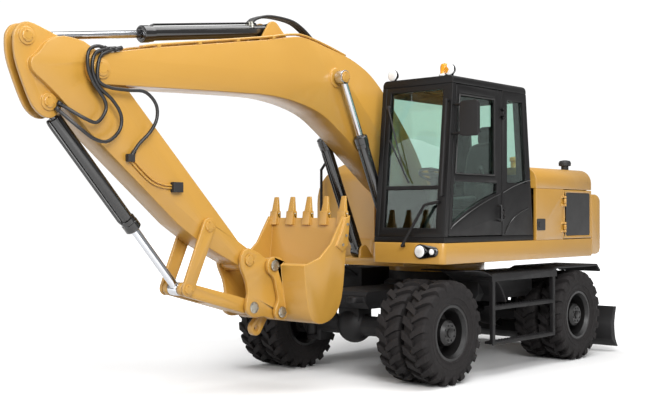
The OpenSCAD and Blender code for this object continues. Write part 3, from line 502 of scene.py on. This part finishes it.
# hoses: each runs between two bodies, with a crimp at each end; the hose is set on neither body
hose = {"radius": 15, "stations": 48, "lane": 200, "laneStep": 4, "crimpRadius": 15 * 1.35, "crimpSides": 12,
        "boomLanes": (176, 190), "stickLanes": (130, 98), "valveLanes": (172, 150)}
loops = {
    "hose_long": [(4860, 3062), (4990, 3078), (5084, 3026), (5092, 2897), (5034, 2767), (4934, 2652),
                  (4917, 2558), (5000, 2456), (5115, 2476), (5230, 2552), (5312, 2600)],
    "hose_outer": [(4800, 3080), (4950, 3050), (5035, 2998), (5051, 2874), (4984, 2744), (4850, 2646),
                   (4764, 2527), (4781, 2401), (4900, 2305), (5033, 2319), (5164, 2392), (5270, 2500),
                   (5330, 2560)],
    "hose_inner": [(4740, 3092), (4900, 3040), (4985, 2975), (5001, 2811), (4901, 2751), (4695, 2742),
                   (4517, 2743), (4400, 2650), (4390, 2524), (4463, 2405), (4553, 2301), (4623, 2185)]}


def addHose(name, shapes):
    points, faces = joined(shapes)
    mesh = bpy.data.meshes.new(name)
    mesh.from_pydata(place(points).tolist(), [], faces)
    mesh.materials.append(hoseRubber)
    mesh.polygons.foreach_set("use_smooth", np.full(len(mesh.polygons), True))
    piece = bpy.data.objects.new(name, mesh)
    bpy.context.collection.objects.link(piece)
    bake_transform(piece)


for index, (name, route) in enumerate(loops.items()):
    lane = np.full(len(route), hose["lane"] + hose["laneStep"] * index)
    lane[:2] = hose["boomLanes"]
    lane[-2:] = hose["valveLanes"] if name == "hose_inner" else hose["stickLanes"]
    x, z = np.array(route).T
    path = smoothCurve(np.column_stack([x, lane, z]), hose["stations"])
    crimps = [sweptTube(end, hose["crimpRadius"], hose["crimpSides"]) for end in (path[:3], path[-3:])]
    addHose(name, [sweptTube(path, hose["radius"])] + crimps)

topHose = {"lanes": (-36, 0, 36), "radius": 14, "stations": 36, "port": (3080, 3500),
           "arc": [(3080, 3552), (3010, 3600), (2830, 3645), (2540, 3640), (2370, 3585), (2200, 3480),
                   (2120, 3418)],
           "portProfile": [(17, 0), (22, 0), (22, 26), (15, 34), (15, 60)], "portAxis": (0.1, 0, 1)}
arcs = [smoothCurve(inLane(topHose["arc"], lane), topHose["stations"]) for lane in topHose["lanes"]]
addHose("hoses_top", [sweptTube(path, topHose["radius"]) for path in arcs])
ports = [turned(topHose["portProfile"], np.array(spot), topHose["portAxis"], 12)
         for lane in topHose["lanes"] for spot in inLane([topHose["port"]], lane)]
addJoined("hose_ports", ports, zincPlate, "stick_barrel")
print("hoses made")

# steel pipes along the boom's top, with clamps, placed by share of the line from foot to tip and rise above it
foot, tip = np.array([220, 1720]), np.array([4940, 2900])
boomLine = unit(tip - foot)
boomSpan = np.linalg.norm(tip - foot)


def boomAt(share, rise):
    return foot + boomLine * boomSpan * share + rise * np.array([-boomLine[1], boomLine[0]])


boomPipe = {"lanes": (-152, -122, 122, 152), "radius": 11, "stations": 60,
            "route": [(0.405, 1200), (0.472, 1194), (0.535, 1170), (0.573, 1115), (0.645, 950), (0.76, 700),
                      (0.893, 412), (0.925, 336)]}
clamp = {"shares": (0.62, 0.71, 0.8, 0.89), "lanes": (-137, 137), "length": 48, "width": 68, "thick": 30,
         "plateShares": [0.573, 0.645, 0.893, 1.0], "plateRises": [1087, 920, 385, 135], "fall": -0.25}
topLine = [boomAt(share, rise) for share, rise in boomPipe["route"]]
pipes = [sweptTube(smoothCurve(inLane(topLine, lane), boomPipe["stations"]), boomPipe["radius"])
         for lane in boomPipe["lanes"]]
clamps = []
for share in clamp["shares"]:
    spot = boomAt(share, np.interp(share, clamp["plateShares"], clamp["plateRises"]))
    outline = roundedBox(clamp["length"], clamp["width"], 4, 2) + (clamp["length"] / 2, clamp["width"] / 2)
    for lane in clamp["lanes"]:
        corner = (spot[0] - 20, lane - clamp["width"] / 2, spot[1] + 4)
        clamps.append(plate(corner, (boomLine[0], 0, clamp["fall"]), (0, 1, 0), outline, clamp["thick"]))
addJoined("boom_pipes", pipes, yellowEnamel, "boom")
addJoined("pipe_clamps", clamps, yellowEnamel, "boom", smooth=False, bevelMm=3)

stickPipe = {"lane": 138, "apart": 22, "radius": 9, "sides": 8, "stations": 24,
             "line": np.array([(4620, 2165), (4540, 2090), (4400, 1985), (4280, 1945), (4168, 1935)])}
pipes = []
for index in (0, 1):
    line = stickPipe["line"] + np.array([-1, 1]) * stickPipe["apart"] * index
    path = smoothCurve(inLane(line, stickPipe["lane"]), stickPipe["stations"])
    pipes.append(sweptTube(path, stickPipe["radius"], stickPipe["sides"]))
addJoined("stick_pipes", pipes, yellowEnamel, "stick")
valves = [block((4060, 125, 1900), (4170, 175, 1990)), block((4590, 125, 2150), (4660, 172, 2215))]
addJoined("stick_valve", valves, castIron, "stick", smooth=False, bevelMm=5)
print("pipes made")

# rams: a stepped gland at the barrel's end and the pipe that feeds it
rams = {"stick_barrel": {"base": (2850, 3500), "eye": (5580, 3100), "lanes": (0,), "radius": 62,
                         "collar": 76, "end": 1570, "rise": 1},
        "bucket_barrel": {"base": (5380, 2600), "eye": (3990, 1040), "lanes": (0,), "radius": 60,
                          "collar": 74, "end": 1370, "rise": 1},
        "boom_barrels": {"base": (1140, 1300), "eye": (2010, 3110), "lanes": (258, -258), "radius": 62,
                         "collar": 73, "end": 1360, "rise": -1}}
feedPipe = {"radius": 10, "sides": 8, "stations": 30}
for body, ram in rams.items():
    base, eye = np.array(ram["base"], float), np.array(ram["eye"], float)
    ahead = unit(eye - base)
    away = ram["rise"] * np.array([-ahead[1], ahead[0]])
    radius, collar, end = ram["radius"], ram["collar"], ram["end"]
    gland = [(radius - 3, end - 130), (collar - 4, end - 124), (collar - 4, end - 84), (collar, end - 80),
             (collar, end - 12), (collar - 7, end - 4), (radius - 6, end - 4)]
    route = [(140, radius - 4), (170, radius + 16), (400, radius + 18), (end - 260, radius + 18),
             (end - 150, radius + 16), (end - 108, radius - 2)]
    path = [base + ahead * along + away * out for along, out in route]
    shapes = []
    for lane in ram["lanes"]:
        spot = np.array([base[0], lane, base[1]])
        shapes.append(turned(gland, spot, (ahead[0], 0, ahead[1]), 36, ring=True))
        curve = smoothCurve(inLane(path, lane), feedPipe["stations"])
        shapes.append(sweptTube(curve, feedPipe["radius"], feedPipe["sides"]))
    addJoined("gland_" + body, shapes, glossBlack, body)
print("rams fitted")

# pin ends: a stepped cap each side with three bolts; body, place, distance out, radius, name
pins = [("boom", (4940, 2900), 186, 62, "tip"),
        ("stick", (5580, 3100), 92, 48, "stick_eye"),
        ("stick", (5380, 2600), 92, 48, "crowd"),
        ("stick", (3740, 1600), 165, 52, "rocker"),
        ("stick", (3250, 1280), 175, 58, "nose"),
        ("rocker", (3990, 1040), 165, 46, "rocker_eye"),
        ("bucket", (3190, 830), 173, 54, "link"),
        ("bucket", (2970, 1220), 233, 52, "ear_top"),
        ("bucket", (2870, 770), 233, 52, "ear_low"),
        ("boom", (2010, 3110), 303, 58, "boom_eye"),
        ("upper", (1140, 1300), 320, 54, "boom_base"),
        ("upper", (220, 1720), 218, 70, "foot")]
platedPins = ("ear_top", "ear_low", "link")
pinBolt = {"count": 3, "start": 0.5, "size": 8, "high": 7, "circle": 0.8, "seat": 11}
for body, spot, out, radius, name in pins:
    cap = [(radius, 0.4), (radius, 8), (radius - 5, 11), (radius * 0.62, 11), (radius * 0.58, 14), (0.5, 14)]
    shapes = []
    for side in (1, -1):
        face = np.array([spot[0], side * out, spot[1]], float)
        axis = np.array([0, side, 0.0])
        bolts = ringOf(face + pinBolt["seat"] * axis, axis, radius * pinBolt["circle"], pinBolt["count"],
                       pinBolt["start"])
        shapes.append(turned(cap, face, axis, 32))
        shapes += hexHeads(bolts, axis, pinBolt["size"], pinBolt["high"])
    addJoined("pin_" + name, shapes, zincPlate if name in platedPins else yellowEnamel, body)
print("pins made")

# wheel nuts and hub covers
wheelNut = {"face": 1026, "circle": 172, "count": 10, "size": 19, "high": 36}
hubBolt = {"face": 1234, "circle": 78, "count": 8, "size": 10, "high": 10}
hubCover = [(48, 0), (48, 12), (40, 18), (0.5, 20)]
for corner in corners:
    hub = np.array(joints["wheel_" + corner]["pos_m"]) * 1000 - origin * 1000
    side = 1 if corner.endswith("left") else -1
    axis = np.array([0, side, 0.0])
    shapes = []
    for bolt in (wheelNut, hubBolt):
        face = np.array([hub[0], side * bolt["face"], hub[2]])
        spots = ringOf(face, axis, bolt["circle"], bolt["count"])
        shapes += hexHeads(spots, axis, bolt["size"], bolt["high"])
    shapes.append(turned(hubCover, face, axis))
    addJoined("wheel_nuts_" + corner, shapes, satinBlack, "wheel_" + corner)
print("nuts made")

# cab: trim lines, gasket, handle, wiper
cabSide = 1236
trim = {"radius": 7, "sides": 8}
cabFront = {"foot": 1600, "lean": 160, "low": 1420, "high": 1690}
doorLine = [(1500, 1560), (1416, 1612), (1147, 1734), (868, 1838), (578, 1926)]
rearLine = [(479, 1496), (439, 1561), (338, 1646), (194, 1721), (0, 1776)]
quarterLine = [(525, 1940), (337, 2003), (109, 2060), (-40, 2085)]


def trimTube(line, stations):
    return sweptTube(smoothCurve(inLane(line, cabSide), stations), trim["radius"], trim["sides"])


addJoined("door_trim", [trimTube(doorLine, 30)], glossBlack, "cab_door")
addJoined("cab_trim", [trimTube(line, 24) for line in (rearLine, quarterLine)], glossBlack, "upper")


def frontX(z):
    return cabFront["foot"] - cabFront["lean"] * (z - cabFront["low"]) / cabFront["high"]


pane = {"rear": 690, "low": 2120, "high": 2920, "fromFront": 128, "gasket": 9}
upperPane = [(pane["rear"], pane["low"]), (frontX(pane["low"]) - pane["fromFront"], pane["low"]),
             (frontX(pane["high"]) - pane["fromFront"], pane["high"]), (pane["rear"], pane["high"]),
             (pane["rear"], pane["low"])]
gasketLine = np.vstack([np.linspace(a, b, 9) for a, b in zip(upperPane[:-1], upperPane[1:])])
addJoined("door_gasket", [sweptTube(inLane(gasketLine, cabSide), pane["gasket"], 8)], hoseRubber, "cab_door")
handle = [(600, cabSide, 1800), (600, 1266, 1795), (600, 1270, 1720), (600, 1266, 1645), (600, cabSide, 1640)]
addJoined("door_handle", [sweptTube(smoothCurve(handle, 20), 11)], mouldedPlastic, "cab_door")
wiperArm = [(frontX(2820) + 14, 440, 2820), (frontX(2500) + 20, 560, 2500), (frontX(2150) + 20, 690, 2150)]
wiperBlade = [(frontX(2480) + 10, 480, 2480), (frontX(2150) + 10, 700, 2120), (frontX(2040) + 10, 760, 2030)]
wiperMotor = turned([(26, 0), (26, 18), (14, 26)], np.array([frontX(2820) - 2, 440, 2820]), (1, 0, 0), 20)
addJoined("wiper", [sweptTube(smoothCurve(wiperArm, 16), 7, 8), sweptTube(smoothCurve(wiperBlade, 16), 9, 6),
                    wiperMotor], mouldedPlastic, "upper")
print("cab trim made")

# bare dark panels in the side doors' recesses, latches, mirror glass
panel = {"spot": (-1105, 1244.3, 1710), "size": (588, 498, 26), "thick": 4.5}
latch = {"spot": (-250, 1249.5, 1595), "size": (180, 130, 14), "thick": 6, "grip": (110, 60, 24),
         "gripThick": 5}
mirrors = [((1483.5, 1470, 2655), (190, 320, 34)), ((664.5, -1000, 2685), (160, 250, 22))]
upright = (0, 0, 1)
for side, name in ((1, "left"), (-1, "right")):
    mirrored, along = np.array([1, side, 1]), (-side, 0, 0)
    spot = np.array(panel["spot"]) * mirrored
    cover = plate(spot, along, upright, roundedBox(*panel["size"]), panel["thick"])
    addJoined("door_panel_" + name, [cover], satinBlack, "side_door_" + name)
    spot = np.array(latch["spot"]) * mirrored
    base = plate(spot, along, upright, roundedBox(*latch["size"]), latch["thick"])
    spot = spot + (0, side * latch["thick"], 0)
    grip = plate(spot, along, upright, roundedBox(*latch["grip"]), latch["gripThick"])
    addJoined("latch_" + name, [base, grip], satinBlack, "upper")
panes = [plate(np.array(spot), (0, -1, 0), upright, roundedBox(*size), 3) for spot, size in mirrors]
addJoined("mirror_glass", panes, hardChrome, "upper")
print("panels made")

# hood: its end panel, set back from the counterweight so that it swings up past it, and the cap on its top
hoodEnd = {"x": -1400, "halfWidth": 1208, "low": 1945, "top": 2198, "radius": 160, "thick": 6}
quarter = np.radians(np.linspace(0, 90, 8))
curve = np.stack([hoodEnd["halfWidth"] + hoodEnd["radius"] * (np.cos(quarter) - 1),
                  hoodEnd["top"] + hoodEnd["radius"] * (np.sin(quarter) - 1)], 1)
half = np.vstack([[(hoodEnd["halfWidth"], hoodEnd["low"])], curve])
outline = np.vstack([half, half[::-1] * (-1, 1)])
endPanel = plate(np.array([hoodEnd["x"], 0, 0]), (0, 1, 0), upright, outline, hoodEnd["thick"])
addJoined("hood_end", [endPanel], yellowEnamel, "hood", smooth=False)
hoodCap = {"spot": (-1250, 1000, 2238),
           "profile": [(44, 0), (44, 50), (72, 56), (74, 92), (60, 116), (20, 124), (0.5, 124)]}
addJoined("hood_cap", [turned(hoodCap["profile"], np.array(hoodCap["spot"]), upright, 32)], castIron, "hood")

# bucket: cutter bolts and tooth pins
cutterBolt = {"lane": 538, "spots": [(2262, 1610), (2280, 1500), (2330, 1410)], "size": 15, "high": 12}
tooth = {"count": 5, "pitch": (1040 - 110) / 4, "half": 50, "pin": (2242, 1715),
         "pinProfile": [(9, 0), (9, 6), (6, 9)]}
shapes = []
for side in (1, -1):
    spots = inLane(cutterBolt["spots"], side * cutterBolt["lane"])
    shapes += hexHeads(spots, (0, side, 0), cutterBolt["size"], cutterBolt["high"])
for index in range(tooth["count"]):
    lane = (index - 2) * tooth["pitch"]
    for side in (1, -1):
        spot = np.array([tooth["pin"][0], lane + side * tooth["half"], tooth["pin"][1]])
        shapes.append(turned(tooth["pinProfile"], spot, (0, side, 0), 12))
addJoined("bucket_bolts", shapes, zincPlate, "bucket")

# tread plates: rows of low round studs
stud = {"profile": [(15, 0), (12, 5), (6, 6)], "along": np.arange(-520, 740, 60)}
treads = ((1080, (1030, 1080, 1130, 1180, 1230)), (740, (1175, 1215)), (370, (1175, 1215)))
for side, name in ((1, "left"), (-1, "right")):
    studs = [turned(stud["profile"], np.array([x, side * lane, z]), upright, 10)
             for z, rows in treads for lane in rows for x in stud["along"]]
    addJoined("step_studs_" + name, studs, chassisPaint, "undercarriage")
print("bolts and studs made")

seatBase = {"spot": (440, 980, 1480), "outline": [(-200, 0), (200, 0), (120, 300), (-140, 300)], "wide": 360}
pedestal = plate(np.array(seatBase["spot"]), (1, 0, 0), upright, seatBase["outline"], seatBase["wide"])
addJoined("seat_base", [pedestal], mouldedPlastic, "upper", smooth=False, bevelMm=12)

# stage: a pale floor that shows white far off and grey in bounced light, and soft lamps
floorSettings = {"half": 60, "bounce": "#8C8C8C", "seen": "#F6F6F6", "glowFrom": 3.6, "glowTo": 11.0}
floorMaterial, tree, shader, coords = startMaterial("paleFloor", Roughness=0.9)


def either(tree, first, second):
    return addNode(tree, "ShaderNodeMath", {0: first, 1: second}, operation="MAXIMUM").outputs[0]


lightPath = addNode(tree, "ShaderNodeLightPath").outputs
seen = either(tree, either(tree, lightPath["Is Camera Ray"], lightPath["Is Glossy Ray"]),
              lightPath["Is Transmission Ray"])
shader.inputs["Emission Color"].default_value = (1, 1, 1, 1)
away = addNode(tree, "ShaderNodeVectorMath", {0: coords}, operation="LENGTH")
glow = addNode(tree, "ShaderNodeMapRange", {
    "Value": away.outputs["Value"], "From Min": floorSettings["glowFrom"], "From Max": floorSettings["glowTo"],
    "To Min": 0.0, "To Max": 1.0})
strength = addNode(tree, "ShaderNodeMath", {0: seen, 1: glow.outputs["Result"]}, operation="MULTIPLY")
tree.links.new(strength.outputs[0], shader.inputs["Emission Strength"])
floorColour = blendColours(tree, seen, floorSettings["bounce"], floorSettings["seen"])
tree.links.new(floorColour, shader.inputs["Base Color"])
floorMesh = bpy.data.meshes.new("floor")
half = floorSettings["half"]
square = [(-half, -half, 0), (half, -half, 0), (half, half, 0), (-half, half, 0)]
floorMesh.from_pydata(square, [], [(0, 1, 2, 3)])
floorMesh.materials.append(floorMaterial)
floor = bpy.data.objects.new("floor", floorMesh)
bpy.context.collection.objects.link(floor)

backdropSettings = {"light": 0.4, "seen": 1.05}
world = bpy.data.worlds.new("studio")
bpy.context.scene.world = world
world.use_nodes = True
tree = world.node_tree
tree.nodes.clear()
lightPath = addNode(tree, "ShaderNodeLightPath").outputs
seen = either(tree, lightPath["Is Camera Ray"], lightPath["Is Transmission Ray"])
backdrop = addNode(tree, "ShaderNodeMapRange", {"Value": seen, "To Min": backdropSettings["light"],
                                                "To Max": backdropSettings["seen"]})
background = addNode(tree, "ShaderNodeBackground", {"Color": (1, 1, 1, 1),
                                                    "Strength": backdrop.outputs["Result"]})
addNode(tree, "ShaderNodeOutputWorld", {"Surface": background.outputs["Background"]})

lampsAimAt = (1000, 0, 1500)
lamps = {"key": {"spot": (9000, 9500, 7500), "size": 6.0, "watts": 1550},
         "fill": {"spot": (11000, -4000, 5000), "size": 7.0, "watts": 240},
         "top": {"spot": (1000, 1500, 10000), "size": 9.0, "watts": 900}}
for name, lamp in lamps.items():
    light = bpy.data.lights.new(name, "AREA")
    light.size = lamp["size"]
    light.energy = lamp["watts"]
    holder = bpy.data.objects.new(name, light)
    holder.location = place(lamp["spot"])
    holder.rotation_euler = (Vector(place(lampsAimAt)) - holder.location).to_track_quat("-Z", "Y").to_euler()
    bpy.context.collection.objects.link(holder)
bpy.context.scene.view_settings.view_transform = "Standard"
print("stage set")
